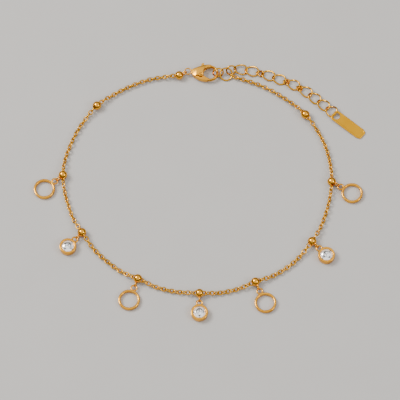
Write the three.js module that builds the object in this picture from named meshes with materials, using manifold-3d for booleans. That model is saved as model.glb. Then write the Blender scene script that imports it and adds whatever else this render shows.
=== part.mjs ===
// Gold charm anklet lying closed on a flat surface: a cable chain with drilled beads, four open ring
// charms, three bezel charms with clear cut stones, a lobster clasp, and an extender that ends in a tag.
// Millimetres, +Z up. The surface is z = 0 and the origin is the centre of the bounding box's bottom.
import * as THREE from 'three';
import { mergeVertices } from 'three/addons/utils/BufferGeometryUtils.js';
import { ConvexGeometry } from 'three/addons/geometries/ConvexGeometry.js';
import Module from 'manifold-3d';

// Chain and beads
const LOOP_WIDTH = 75.45;
const CHAIN_WIDTH = 1.2;
const CHAIN_WIRE = 0.3;
const CHAIN_LINK_LENGTH = 1.72;
const BEAD_DIAMETER = 2.5;
const BORE_PLAY = 0.14;
const EYE_DIAMETER = 1.9;
const EYE_WIRE = 0.4;
const EYE_SINK = 0.58;
const EYE_LIFT = 0.03;
const LINK_GAP = 0.07;

// Charms
const LOOP_DIAMETER = 2.02;
const LOOP_WIRE = 0.46;
const LOOP_OVERLAP = 0.32;
const RING_LOOP_DROP = 0.02;
const BEZEL_LOOP_RISE = 0.06;
const BEZEL_LOOP_SINK = 0.2;
const RING_DIAMETER = 6.0;
const RING_WIDTH = 0.66;
const RING_HEIGHT = 1.05;
const RING_ROUNDING = 0.2;
const BEZEL_DIAMETER = 4.7;
const BEZEL_HEIGHT = 1.65;
const BEZEL_LIP = 0.62;
const BEZEL_BACK_HOLE = 1.8;
const BEZEL_BACK_FLOOR = 0.3;
const BEZEL_FOOT = 0.25;
const BEZEL_SHOULDER = 0.35;
const BEZEL_BEVEL = { out: 0.12, down: 0.1 };
const BEZEL_TOP_IN = 0.34;
const BEZEL_LIP_EDGE = { out: 0.08, down: 0.06 };
const BEZEL_LIP_DEPTH = 0.2;
const BEZEL_WALL = 0.2;
const SEAT_STEP = { in: 0.04, down: 0.16 };
const STONE_DIAMETER = 3.6;
const STONE_TABLE = 2.0;
const STONE_CROWN = 0.48;
const STONE_GIRDLE = 0.1;
const STONE_PAVILION = 1.02;
const STONE_GAP = 0.09;
const STONE_SET = 0.4;
const GIRDLE_FACETS = 16;
const TABLE_SIDES = 8;
const KITE = { out: 0.04, rise: 0.6 };

// Clasp. Its own frame has the hook's centre at the origin, the nose towards +X and the tail towards -X.
const CLASP_HOOK_DIAMETER = 5.1;
const CLASP_HOLE = 3.6;
const CLASP_TAIL = 5.3;
const CLASP_BODY_HEIGHT = 2.2;
const CLASP_NOSE_HEIGHT = 1.12;
const CLASP_NECK = 0.8;
const CLASP_EYE_DIAMETER = 2.3;
const CLASP_EYE_WIRE = 0.4;
const CLASP_EYE_FUSE = 0.2;
const SLOT_HEIGHT = 0.9;
const LEVER_PLATE = 0.74;
const GATE_HEIGHT = 1.3;
const PIVOT_BACK = 2.49;
const PIVOT_SIDE = 0.94;
const PIN_DIAMETER = 0.7;
const PIN_GAP = 0.06;
const EAR_DIAMETER = 1.4;
const GATE_GAP = 0.08;
const GATE_REACH = 2.66;
const THUMB_RISE = 0.6;
const BODY_BEVEL = 0.42;
const GATE_BEVEL = 0.24;
const GATE_CLEARANCE = 0.03;
const GATE_OVERRUN = 20;
const ROOM_BEFORE = 3;
const ROOM_AFTER = 2;
const WEB_INNER = 0.2;
const WEB_SHORT = 0.4;
const PIN_SHORT = 0.04;
const PIN_SIDES = 12;
const SIDE_RUN = 0.2;
const NECK_HEIGHT = 0.4;
const HOOK_SECTION_SIDES = 8;
const HOOK_SECTION_EDGE = Math.cos(Math.PI / HOOK_SECTION_SIDES);

// Jump rings, extender and tag
const RING_A_DIAMETER = 3.3;
const RING_B_DIAMETER = 3.88;
const JUMP_WIRE = 0.4;
const EXTENDER_WIRE = 0.36;
const LARGE_LENGTH = 4.15;
const LARGE_WIDTH = 3.25;
const ROUND_LENGTH = 3.1;
const SMALL_LENGTH = 2.0;
const MIDDLE_LENGTH = 2.45;
const SMALL_WIDTH = 1.9;
const LINK_TWIST = 0.4;
const SMALL_TWIST = 0.38;
const END_LINK = 3.5;
const END_TWIST = 0.54;
const TAG_LENGTH = 10.8;
const TAG_WIDTH = 3.3;
const TAG_THICKNESS = 0.4;
const TAG_RIM = 0.08;
const TAG_CORNER = 1.0;
const TAG_HOLE = 2.0;
const TAG_HOLE_INSET = 1.25;

// Facets
const CHAIN_SIDES = 8;
const BEAD_SIDES = 12;
const BEAD_BANDS = 5;
const WIRE_SIDES = 6;
const LOOP_STEPS = 10;
const LINK_STEPS = 14;
const CHARM_SIDES = 20;
const CLASP_SIDES = 24;

// Where the clasp's hook lies and how the clasp is turned
const CLASP_PLACE = new THREE.Vector2(0.0368, 0.5223).multiplyScalar(LOOP_WIDTH);
const CLASP_TURN = -6;

// The chain's route round the ankle, in order from the clasp's tail round the left side to jump ring B,
// in shares of the loop's width.
// A row with a bead says what the bead carries, and turn is the direction of its charm from the bead.
const ROUTE = [
  { x: -0.1670, y: 0.5036 },
  { x: -0.2306, y: 0.4838 },
  { x: -0.2916, y: 0.4546 },
  { x: -0.3433, y: 0.4215 },
  { x: -0.3877, y: 0.3844, bead: 'station' },
  { x: -0.4294, y: 0.3313 },
  { x: -0.4612, y: 0.2783 },
  { x: -0.4891, y: 0.2107 },
  { x: -0.5050, y: 0.1537 },
  { x: -0.5103, y: 0.0954, bead: 'ring', turn: -141.6 },
  { x: -0.5036, y: 0.0331 },
  { x: -0.4877, y: -0.0278 },
  { x: -0.4665, y: -0.0861 },
  { x: -0.4354, y: -0.1392, bead: 'bezel', turn: -131.9 },
  { x: -0.3883, y: -0.2068 },
  { x: -0.3340, y: -0.2598 },
  { x: -0.2810, y: -0.2995 },
  { x: -0.2280, y: -0.3247, bead: 'ring', turn: -110.8 },
  { x: -0.1696, y: -0.3526 },
  { x: -0.1127, y: -0.3698 },
  { x: -0.0557, y: -0.3791 },
  { x: -0.0020, y: -0.3830, bead: 'bezel', turn: -90 },
  { x: 0.0490, y: -0.3817 },
  { x: 0.1021, y: -0.3738 },
  { x: 0.1537, y: -0.3592 },
  { x: 0.2028, y: -0.3380, bead: 'ring', turn: -65.6 },
  { x: 0.2651, y: -0.3128 },
  { x: 0.3247, y: -0.2744 },
  { x: 0.3724, y: -0.2280 },
  { x: 0.4129, y: -0.1750, bead: 'bezel', turn: -47 },
  { x: 0.4414, y: -0.1246 },
  { x: 0.4639, y: -0.0649 },
  { x: 0.4811, y: 0.0013 },
  { x: 0.4897, y: 0.0683, bead: 'ring', turn: -30.3 },
  { x: 0.4877, y: 0.1299 },
  { x: 0.4771, y: 0.1882 },
  { x: 0.4599, y: 0.2412 },
  { x: 0.4334, y: 0.2942 },
  { x: 0.3956, y: 0.3472, bead: 'station' },
  { x: 0.3539, y: 0.3910 },
  { x: 0.3075, y: 0.4268 },
  { x: 0.2571, y: 0.4586 },
  { x: 0.2028, y: 0.4838 },
];

// The extender's links in order from the round link on jump ring B, each with the heading of the step to
// it. The first two are drawn a little closer, by slack, because their neighbours lean.
const EXTENDER = [
  { kind: 'large', heading: 9.8, turn: -1, pitch: -7, lift: 0.25, slack: 0.08 },
  { kind: 'large', heading: -6, slack: 0.05 },
  { kind: 'middle', heading: -18 },
  { kind: 'large', heading: -15 },
  { kind: 'large', heading: -22 },
  { kind: 'small', heading: -22 },
  { kind: 'large', heading: -24, slack: 0.1 },
  { kind: 'small', heading: -33, slack: 0.1 },
  { kind: 'large', heading: -31, slack: 0.1 },
  { kind: 'large', heading: -40, slack: 0.12 },
  { kind: 'large', heading: -41 },
  { kind: 'end', heading: -43 },
];
const TAG_HOLE_HEADING = -50;
const TAG_HEADING = -39;

// Colours
const GOLD = { color: 0xd9a441, metalness: 1, roughness: 0.18 };
const PALE_GOLD = { color: 0xe6b85c, metalness: 1, roughness: 0.15 };
const CLEAR_STONE = { color: 0xf4f6f8, metalness: 0, roughness: 0.02 };

const wasm = await Module();
wasm.setup();

const UP = new THREE.Vector3(0, 0, 1);
const FULL_TURN = 2 * Math.PI;
const rad = THREE.MathUtils.degToRad;
const heading = (degrees) => new THREE.Vector3(Math.cos(rad(degrees)), Math.sin(rad(degrees)), 0);
const step = (from, direction, distance) => from.clone().addScaledVector(direction, distance);

// Solids
function asSolid(geometry) {
  const bare = geometry.clone();
  bare.deleteAttribute('normal');
  bare.deleteAttribute('uv');
  const merged = mergeVertices(bare, 1e-5);
  return new wasm.Manifold(new wasm.Mesh({
    numProp: 3,
    vertProperties: new Float32Array(merged.attributes.position.array),
    triVerts: new Uint32Array(merged.index.array),
  }));
}

function asGeometry(solid) {
  const mesh = solid.getMesh();
  const geometry = new THREE.BufferGeometry();
  geometry.setAttribute('position', new THREE.BufferAttribute(new Float32Array(mesh.vertProperties), 3));
  geometry.setIndex(new THREE.BufferAttribute(new Uint32Array(mesh.triVerts), 1));
  geometry.computeVertexNormals();
  return geometry;
}

const join = (...geometries) => asGeometry(geometries.map(asSolid).reduce((all, next) => all.add(next)));
const cut = (geometry, ...tools) => asGeometry(tools.map(asSolid).reduce((left, tool) => left.subtract(tool),
  asSolid(geometry)));
const common = (geometry, other) => asGeometry(asSolid(geometry).intersect(asSolid(other)));

function node(name, geometry, finish) {
  const mesh = new THREE.Mesh(geometry, new THREE.MeshStandardMaterial(finish));
  mesh.name = name;
  return mesh;
}

// A body turned about Z from a closed profile of [radius, height] pairs
function turned(profile, sides) {
  const points = [...profile, profile[0]].map(([r, z]) => new THREE.Vector2(r, z));
  return new THREE.LatheGeometry(points, sides).rotateX(Math.PI / 2);
}

function disc(diameter, height, centreZ, sides = CLASP_SIDES) {
  return new THREE.CylinderGeometry(diameter / 2, diameter / 2, height, sides)
    .rotateX(Math.PI / 2)
    .translate(0, 0, centreZ);
}

// A plate from a flat shape, centred on centreZ, with rounded rims when bevel is given
function plate(shape, height, centreZ, bevel = 0, curveSegments = 6) {
  const rim = bevel > 0 ? { bevelEnabled: true, bevelThickness: bevel, bevelSize: bevel, bevelOffset: -bevel,
    bevelSegments: 2 } : { bevelEnabled: false };
  return new THREE.ExtrudeGeometry(shape, { depth: height - 2 * bevel, steps: 1, curveSegments, ...rim })
    .translate(0, 0, centreZ - height / 2 + bevel);
}

// A closed wire link in its own flat frame. Its centreline is an oval, and twist lifts two opposite
// quarters of it and lowers the other two, as in a twisted curb link.
function wireLink({ length, width, wire, twist = 0, steps = LINK_STEPS }) {
  const halfLength = (length - wire) / 2;
  const halfWidth = (width - wire) / 2;
  const geometry = new THREE.TorusGeometry(1, wire / 2, WIRE_SIDES, steps);
  const position = geometry.attributes.position;
  const centre = new THREE.Vector3();
  const outward = new THREE.Vector3();
  for (let i = 0; i < position.count; i += 1) {
    const angle = Math.atan2(position.getY(i), position.getX(i));
    const spread = Math.hypot(position.getX(i), position.getY(i)) - 1;
    const cos = Math.cos(angle);
    const sin = Math.sin(angle);
    centre.set(halfLength * cos, halfWidth * sin, 2 * twist * sin * cos);
    outward.set(halfWidth * cos, halfLength * sin, 0).normalize();
    position.setXYZ(i, centre.x + outward.x * spread, centre.y + outward.y * spread,
      centre.z + position.getZ(i));
  }
  return geometry;
}

const ringWire = (diameter, wire, steps = LINK_STEPS) => (
  wireLink({ length: diameter, width: diameter, wire, steps }));

// Lays a link with its length along a direction: lean lifts its left side, pitch lifts its far end
function lay(mesh, centre, along, lean = 0, pitch = 0) {
  const turn = new THREE.Quaternion().setFromAxisAngle(UP, Math.atan2(along.y, along.x));
  turn.multiply(new THREE.Quaternion().setFromAxisAngle(new THREE.Vector3(0, -1, 0), rad(pitch)));
  turn.multiply(new THREE.Quaternion().setFromAxisAngle(new THREE.Vector3(1, 0, 0), rad(lean)));
  mesh.quaternion.copy(turn);
  mesh.position.copy(centre);
  return mesh;
}

// Beads: a drilled ball with a soldered upright eye on one side
const BEAD_RADIUS = BEAD_DIAMETER / 2;
const BORE_RADIUS = CHAIN_WIDTH / 2 + BORE_PLAY;
const EYE_RADIUS = (EYE_DIAMETER - EYE_WIRE) / 2;
const EYE_OUT = BEAD_RADIUS + EYE_DIAMETER / 2 - EYE_SINK;
const EYE_HEIGHT = EYE_DIAMETER / 2 + EYE_LIFT;

function drilledBall() {
  const bore = Math.asin(BORE_RADIUS / BEAD_RADIUS);
  const profile = [];
  for (let i = 0; i <= BEAD_BANDS; i += 1) {
    const angle = bore + ((Math.PI - 2 * bore) * i) / BEAD_BANDS;
    profile.push([BEAD_RADIUS * Math.sin(angle), -BEAD_RADIUS * Math.cos(angle)]);
  }
  return turned(profile, BEAD_SIDES);
}

function uprightEye(direction, out, height) {
  const eye = ringWire(EYE_DIAMETER, EYE_WIRE, LOOP_STEPS).rotateX(Math.PI / 2);
  return eye.rotateZ(Math.atan2(direction.y, direction.x))
    .translate(direction.x * out, direction.y * out, height - BEAD_RADIUS);
}

function beadNode(name, centre, tangent, eyeDirection) {
  const alongChain = (geometry) => geometry.rotateY(Math.PI / 2).rotateZ(Math.atan2(tangent.y, tangent.x));
  let geometry = alongChain(drilledBall());
  if (eyeDirection) {
    const bore = alongChain(disc(2 * BORE_RADIUS, 3 * BEAD_DIAMETER, 0, BEAD_SIDES));
    geometry = cut(join(geometry, uprightEye(eyeDirection, EYE_OUT, EYE_HEIGHT)), bore);
  }
  const mesh = node(name, geometry, GOLD);
  mesh.position.copy(centre);
  return mesh;
}

// The end bead is drilled from the chain's side alone, and its eye holds the clasp's tail
function endBeadNode(name, centre, tangent, eyeDirection) {
  const ball = new THREE.SphereGeometry(BEAD_RADIUS, BEAD_SIDES, BEAD_BANDS + 2).rotateX(Math.PI / 2);
  const depth = 2 * BEAD_DIAMETER;
  const bore = disc(2 * BORE_RADIUS, depth, depth / 2 - 2 * BORE_PLAY, BEAD_SIDES)
    .rotateY(Math.PI / 2)
    .rotateZ(Math.atan2(tangent.y, tangent.x));
  const mesh = node(name, join(cut(ball, bore), uprightEye(eyeDirection, EYE_OUT, MID)), GOLD);
  mesh.position.copy(centre);
  return mesh;
}

// Charms: the loop that hangs in a bead's eye is soldered to the charm's rim
const LOOP_RADIUS = (LOOP_DIAMETER - LOOP_WIRE) / 2;
const LOOP_SLACK = LOOP_RADIUS - LOOP_WIRE / 2 - EYE_WIRE / 2 - LINK_GAP;
const LOOP_OUT = EYE_OUT + EYE_RADIUS + LOOP_SLACK;
const RING_LOOP_HEIGHT = RING_HEIGHT - LOOP_WIRE / 2 - RING_LOOP_DROP;
const BEZEL_LOOP_HEIGHT = EYE_HEIGHT + BEZEL_LOOP_RISE;
const RING_LOOP_OUT = RING_DIAMETER / 2 + LOOP_DIAMETER / 2 - LOOP_OVERLAP;
const BEZEL_LOOP_OUT = BEZEL_DIAMETER / 2 + LOOP_DIAMETER / 2 - LOOP_OVERLAP - BEZEL_LOOP_SINK;

function ringCharm(name) {
  const outer = RING_DIAMETER / 2;
  const inner = outer - RING_WIDTH;
  const low = RING_ROUNDING;
  const high = RING_HEIGHT - RING_ROUNDING;
  const band = turned([
    [inner + low, 0], [outer - low, 0], [outer, low], [outer, high],
    [outer - low, RING_HEIGHT], [inner + low, RING_HEIGHT], [inner, high], [inner, low],
  ], CHARM_SIDES);
  const loop = ringWire(LOOP_DIAMETER, LOOP_WIRE, LOOP_STEPS).translate(-RING_LOOP_OUT, 0, RING_LOOP_HEIGHT);
  const inside = disc(2 * inner, 3 * RING_HEIGHT, RING_HEIGHT / 2, CHARM_SIDES);
  return node(name, join(cut(loop, inside), band), GOLD);
}

const GIRDLE_TOP = BEZEL_HEIGHT - STONE_SET;
const GIRDLE_LOW = GIRDLE_TOP - STONE_GIRDLE;

function bezel(name) {
  const outer = BEZEL_DIAMETER / 2;
  const lip = outer - BEZEL_LIP;
  const groove = STONE_DIAMETER / 2 + STONE_GAP;
  const back = BEZEL_BACK_HOLE / 2;
  const seat = Math.min(lip, groove) - SEAT_STEP.in;
  const cup = turned([
    [back, 0], [outer - BEZEL_FOOT, 0], [outer, BEZEL_FOOT], [outer, BEZEL_HEIGHT - BEZEL_SHOULDER],
    [outer - BEZEL_BEVEL.out, BEZEL_HEIGHT - BEZEL_BEVEL.down], [outer - BEZEL_TOP_IN, BEZEL_HEIGHT],
    [lip + BEZEL_LIP_EDGE.out, BEZEL_HEIGHT - BEZEL_LIP_EDGE.down], [lip, BEZEL_HEIGHT - BEZEL_LIP_DEPTH],
    [groove, GIRDLE_TOP + STONE_GAP / 2], [groove, GIRDLE_LOW - STONE_GAP / 2],
    [seat, GIRDLE_LOW - SEAT_STEP.down], [back, BEZEL_BACK_FLOOR],
  ], CHARM_SIDES);
  const loop = ringWire(LOOP_DIAMETER, LOOP_WIRE, LOOP_STEPS)
    .translate(-BEZEL_LOOP_OUT, 0, BEZEL_LOOP_HEIGHT);
  const inside = disc(2 * (outer - BEZEL_WALL), 3 * BEZEL_HEIGHT, BEZEL_HEIGHT / 2, CHARM_SIDES);
  return node(name, join(cut(loop, inside), cup), GOLD);
}

// A round brilliant: eight-sided table, eight kite corners between it and the girdle, pointed pavilion
function cutStone(name) {
  const girdle = STONE_DIAMETER / 2;
  const table = STONE_TABLE / 2;
  const corner = (radius, z, i, count, shift) => {
    const angle = ((i + shift) * FULL_TURN) / count;
    return new THREE.Vector3(radius * Math.cos(angle), radius * Math.sin(angle), z);
  };
  const points = [new THREE.Vector3(0, 0, GIRDLE_LOW - STONE_PAVILION)];
  for (let i = 0; i < GIRDLE_FACETS; i += 1) {
    points.push(corner(girdle, GIRDLE_LOW, i, GIRDLE_FACETS, 0));
    points.push(corner(girdle, GIRDLE_TOP, i, GIRDLE_FACETS, 0));
  }
  const kite = 0.5 * (girdle + table) + KITE.out;
  for (let i = 0; i < TABLE_SIDES; i += 1) {
    points.push(corner(table, GIRDLE_TOP + STONE_CROWN, i, TABLE_SIDES, 0.5));
    points.push(corner(kite, GIRDLE_TOP + KITE.rise * STONE_CROWN, i, TABLE_SIDES, 0));
  }
  return node(name, new ConvexGeometry(points), CLEAR_STONE);
}

// Clasp
const MID = CLASP_BODY_HEIGHT / 2;
const HOOK = CLASP_HOOK_DIAMETER / 2;
const HOLE = CLASP_HOLE / 2;
const EAR = EAR_DIAMETER / 2;
const PIVOT = new THREE.Vector2(-PIVOT_BACK, -PIVOT_SIDE);
const GATE_START = 207;
const GATE_END = 326;
const LEVER_SWING = 20;
const TALL = 2 * CLASP_BODY_HEIGHT;
const SECTOR_STEPS = 10;
const SLOT_TAIL = -0.79;
const SLOT_NOSE = -0.24;

// The lever's arm in the slot, from the thumb tab at the upper shoulder round the pivot and back
const ARM = [
  [-0.505 * CLASP_TAIL, 0.85 * HOOK], [-0.5 * CLASP_TAIL, 0.92 * HOOK + 0.5 * THUMB_RISE],
  [-0.46 * CLASP_TAIL, 0.92 * HOOK + THUMB_RISE], [-0.36 * CLASP_TAIL, 0.92 * HOOK + THUMB_RISE],
  [-0.34 * CLASP_TAIL, 0.92 * HOOK + 0.3 * THUMB_RISE], [-0.36 * CLASP_TAIL, 0.5 * HOOK],
  [PIVOT.x + 0.85 * EAR, PIVOT.y + 0.85 * EAR], [PIVOT.x + EAR, PIVOT.y - 1.07 * EAR],
  [PIVOT.x - 0.5 * EAR, PIVOT.y - 1.43 * EAR], [PIVOT.x - 1.07 * EAR, PIVOT.y + 0.15 * EAR],
  [-0.57 * CLASP_TAIL, 0.35 * HOOK],
];

// The outline seen from above: round hook, a straight upper shoulder and a fuller lower belly
function claspOutline() {
  const neck = CLASP_NECK / 2;
  const shape = new THREE.Shape();
  shape.moveTo(-CLASP_TAIL, neck);
  shape.lineTo(-CLASP_TAIL, -neck);
  shape.bezierCurveTo(-0.75 * CLASP_TAIL, -1.05 * HOOK, -0.3 * CLASP_TAIL, -1.12 * HOOK, 0, -HOOK);
  shape.absarc(0, 0, HOOK, -Math.PI / 2, Math.PI / 2, false);
  shape.bezierCurveTo(-0.3 * CLASP_TAIL, HOOK, -0.62 * CLASP_TAIL, 0.66 * HOOK, -CLASP_TAIL, neck);
  return shape;
}

// The side view that the body is trimmed to: thin neck, full height at the pivot, lower towards the nose
function claspSide(height, noseHeight) {
  const neck = NECK_HEIGHT * height;
  const shape = new THREE.Shape();
  const upper = [
    [-CLASP_TAIL - SIDE_RUN, neck / 2], [-0.72 * CLASP_TAIL, 0.47 * height], [-0.6 * CLASP_TAIL, height / 2],
    [-0.36 * CLASP_TAIL, height / 2], [0, noseHeight / 2], [HOOK + SIDE_RUN, noseHeight / 2],
  ];
  upper.forEach(([x, z], i) => (i ? shape.lineTo(x, z) : shape.moveTo(x, z)));
  [...upper].reverse().forEach(([x, z]) => shape.lineTo(x, -z));
  return new THREE.ExtrudeGeometry(shape, { depth: 4 * HOOK, steps: 1, bevelEnabled: false })
    .translate(0, 0, -2 * HOOK)
    .rotateX(Math.PI / 2)
    .translate(0, 0, MID);
}

// A flat sector about the pivot between two radii
function pivotSector(inner, outer, from, to) {
  const shape = new THREE.Shape();
  shape.absarc(PIVOT.x, PIVOT.y, outer, rad(from), rad(to), false);
  shape.absarc(PIVOT.x, PIVOT.y, inner, rad(to), rad(from), true);
  return plate(shape, TALL, MID, 0, SECTOR_STEPS);
}

// A block between two X places, the second of which may lean
function between(fromX, toXLow, toXHigh = toXLow, height = TALL) {
  const shape = new THREE.Shape([
    new THREE.Vector2(fromX, -2 * HOOK), new THREE.Vector2(toXLow, -2 * HOOK),
    new THREE.Vector2(toXHigh, 2 * HOOK), new THREE.Vector2(fromX, 2 * HOOK),
  ]);
  return plate(shape, height, MID);
}

// The hook is a round bar bent round the hole: an oval section turned about the hole's centre
function hookBar(noseHeight, sides) {
  const half = (HOOK - HOLE) / 2;
  const profile = [];
  for (let i = 0; i < HOOK_SECTION_SIDES; i += 1) {
    const angle = ((i + 0.5) * FULL_TURN) / HOOK_SECTION_SIDES;
    profile.push([HOLE + half + (half * Math.cos(angle)) / HOOK_SECTION_EDGE,
      MID + ((noseHeight / 2) * Math.sin(angle)) / HOOK_SECTION_EDGE]);
  }
  return turned(profile, sides);
}

function claspBody() {
  const hole = disc(CLASP_HOLE, TALL, MID);
  const outline = plate(claspOutline(), CLASP_BODY_HEIGHT, MID, BODY_BEVEL);
  const blank = common(outline, claspSide(CLASP_BODY_HEIGHT, CLASP_NOSE_HEIGHT));
  const body = common(cut(blank, hole), between(-2 * CLASP_TAIL, -0.6 * HOOK, 0.3 * HOOK));
  const hook = common(hookBar(CLASP_NOSE_HEIGHT, CLASP_SIDES), between(-0.2 * HOOK, 2 * HOOK));
  const eye = ringWire(CLASP_EYE_DIAMETER, CLASP_EYE_WIRE, LINK_STEPS)
    .translate(-(CLASP_TAIL + CLASP_EYE_DIAMETER / 2 - CLASP_EYE_FUSE), 0, MID);
  const slot = between(SLOT_TAIL * CLASP_TAIL, SLOT_NOSE * CLASP_TAIL, SLOT_NOSE * CLASP_TAIL, SLOT_HEIGHT);
  const gateRoom = pivotSector(EAR, GATE_REACH + GATE_GAP, GATE_START - ROOM_BEFORE,
    GATE_END + GATE_OVERRUN + LEVER_SWING + ROOM_AFTER);
  return node('clasp_body', cut(join(body, hook, eye), gateRoom, slot, pinHole()), PALE_GOLD);
}

// The bore that the pin passes, in the body's two walls and in the lever
function pinHole() {
  return disc(PIN_DIAMETER + 2 * PIN_GAP, TALL, MID, PIN_SIDES).translate(PIVOT.x, PIVOT.y, 0);
}

// The lever: a thin plate in the slot with its thumb tab above, and the thicker gate that closes the hook
function claspLever() {
  const arm = plate(new THREE.Shape(ARM.map(([x, y]) => new THREE.Vector2(x, y))), LEVER_PLATE, MID);
  const sector = pivotSector(EAR + GATE_GAP, GATE_REACH, GATE_START, GATE_END + GATE_OVERRUN);
  const hole = disc(CLASP_HOLE + 2 * GATE_CLEARANCE, TALL, MID);
  const gate = cut(common(plate(claspOutline(), GATE_HEIGHT, MID, GATE_BEVEL), sector), hole);
  const webSector = pivotSector(WEB_INNER, GATE_REACH - WEB_SHORT, GATE_START, GATE_END);
  const web = common(plate(claspOutline(), LEVER_PLATE, MID), webSector);
  return node('clasp_lever', cut(join(arm, cut(web, hole), gate), pinHole()), PALE_GOLD);
}

function claspPin() {
  const pin = disc(PIN_DIAMETER, CLASP_BODY_HEIGHT - PIN_SHORT, MID, PIN_SIDES);
  return node('clasp_pin', pin.translate(PIVOT.x, PIVOT.y, 0), GOLD);
}

const CLASP_AXIS = heading(CLASP_TURN);
const CLASP_SIDE = heading(CLASP_TURN + 90);

function claspPoint(x, y, z) {
  const origin = new THREE.Vector3(CLASP_PLACE.x, CLASP_PLACE.y, z);
  return step(step(origin, CLASP_AXIS, x), CLASP_SIDE, y);
}

const TAIL_EYE = claspPoint(-(CLASP_TAIL + CLASP_EYE_DIAMETER / 2 - CLASP_EYE_FUSE), 0, MID);

function addClasp(anklet) {
  const clasp = new THREE.Group();
  clasp.add(claspBody(), claspLever(), claspPin());
  clasp.position.set(CLASP_PLACE.x, CLASP_PLACE.y, 0);
  clasp.rotation.z = rad(CLASP_TURN);
  anklet.add(clasp);
}

// The end bead hangs on the tail's eye, towards the chain
const END_HEADING = 209;
const END_BEAD_OUT = EYE_OUT + EYE_RADIUS - EYE_WIRE / 2 - CLASP_EYE_WIRE / 2 - LINK_GAP
  + (CLASP_EYE_DIAMETER - CLASP_EYE_WIRE) / 2;
const END_BEAD = step(TAIL_EYE, heading(END_HEADING), END_BEAD_OUT).setZ(BEAD_RADIUS);

// Jump rings. Each leans on its neighbours, with its lowest point on the surface or a little above it.
const REST_LIFT = 0.03;
const RING_A = { lean: 64, pitch: -21, turn: -3, forward: 0.9333 * HOOK, side: 0.1176 * HOOK, lift: 0 };
const RING_B = {
  lean: 24.5, pitch: -3, turn: 0, forward: 1.8353 * HOOK, side: 0.102 * HOOK, lift: REST_LIFT,
};

function restHeight({ lean, pitch, lift }, diameter, wire) {
  const level = Math.cos(rad(lean)) * Math.cos(rad(pitch));
  return wire / 2 + ((diameter - wire) / 2) * Math.sqrt(1 - level * level) + lift;
}

const layAt = (mesh, centre, { turn, lean, pitch }) => lay(mesh, centre, heading(turn), lean, pitch);
const RING_A_CENTRE = claspPoint(RING_A.forward, RING_A.side, restHeight(RING_A, RING_A_DIAMETER, JUMP_WIRE));
const RING_B_CENTRE = claspPoint(RING_B.forward, RING_B.side, restHeight(RING_B, RING_B_DIAMETER, JUMP_WIRE));

function addJumpRings(anklet) {
  const ringA = node('jump_ring_clasp', ringWire(RING_A_DIAMETER, JUMP_WIRE), GOLD);
  const ringB = node('jump_ring_join', ringWire(RING_B_DIAMETER, JUMP_WIRE), GOLD);
  anklet.add(layAt(ringA, RING_A_CENTRE, RING_A));
  anklet.add(layAt(ringB, RING_B_CENTRE, RING_B));
}

// Chain. It lies on the surface, rises to each bead's bore and falls again.
const LAST_LINK_HEADING = -29;
const LAST_LINK_LIFT = 0.12;
const LAST_LINK_BEARING = -14;
const LAST_LINK_OUT = 0.05;
const CHAIN_HEIGHT = CHAIN_WIDTH / 2;
const BEAD_FLAT = 1.7;
const RISE_LENGTH = 4.5;
const STATION_PITCH = 2.75;
const CURVE_SAMPLES = 20;
const LAST_LINK_REACH = (RING_B_DIAMETER - JUMP_WIRE) / 2 + LAST_LINK_OUT;
const LAST_LINK = step(RING_B_CENTRE, heading(LAST_LINK_BEARING), LAST_LINK_REACH)
  .setZ(CHAIN_HEIGHT + LAST_LINK_LIFT);
const CHAIN_END = step(LAST_LINK, heading(LAST_LINK_HEADING), (CHAIN_LINK_LENGTH - CHAIN_WIRE) / 2);

// A curve through chosen stations, with a step at each of them
class StationCurve extends THREE.Curve {
  constructor(stations) {
    super();
    this.stations = stations;
  }

  getUtoTmapping(u) {
    return u;
  }

  getPoint(t) {
    const place = t * (this.stations.length - 1);
    const i = Math.min(Math.floor(place), this.stations.length - 2);
    return this.stations[i].clone().lerp(this.stations[i + 1], place - i);
  }
}

const smooth = (x) => THREE.MathUtils.smoothstep(x, 0, 1);

// The route seen from above, and what it holds at which length along it
function chainRoute() {
  const stations = ROUTE.map((row) => ({ ...row, x: row.x * LOOP_WIDTH, y: row.y * LOOP_WIDTH }));
  const last = { x: CHAIN_END.x, y: CHAIN_END.y };
  const rows = [{ x: END_BEAD.x, y: END_BEAD.y, bead: 'end' }, ...stations, last];
  const places = rows.map(({ x, y }) => new THREE.Vector3(x, y, 0));
  const curve = new THREE.CatmullRomCurve3(places, false, 'catmullrom', 0.5);
  curve.arcLengthDivisions = (rows.length - 1) * CURVE_SAMPLES;
  const lengths = curve.getLengths();
  const total = lengths[lengths.length - 1];
  const holds = rows.map((row, i) => ({ ...row, at: lengths[i * CURVE_SAMPLES] })).filter((row) => row.bead);
  const height = (at) => {
    const rise = holds.map((hold) => (BEAD_RADIUS - CHAIN_HEIGHT)
      * (1 - smooth((Math.abs(at - hold.at) - BEAD_FLAT) / RISE_LENGTH)));
    const lift = LAST_LINK_LIFT * (1 - smooth((total - at) / RISE_LENGTH));
    return CHAIN_HEIGHT + Math.max(...rise, lift);
  };
  const point = (at) => curve.getPointAt(at / total).setZ(height(at));
  const tangent = (at) => curve.getTangentAt(at / total);
  return { total, holds, point, tangent };
}

function chainStations({ total, holds, point }) {
  const marks = [0];
  const ends = [...holds.slice(1).map((hold) => hold.at), total + BEAD_FLAT];
  let from = BEAD_FLAT;
  ends.forEach((end) => {
    const steps = Math.max(2, Math.round((end - BEAD_FLAT - from) / STATION_PITCH));
    for (let i = 0; i <= steps; i += 1) {
      marks.push(from + ((end - BEAD_FLAT - from) * i) / steps);
    }
    from = end + BEAD_FLAT;
  });
  return marks.map((at) => point(Math.min(at, total)));
}

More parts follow.
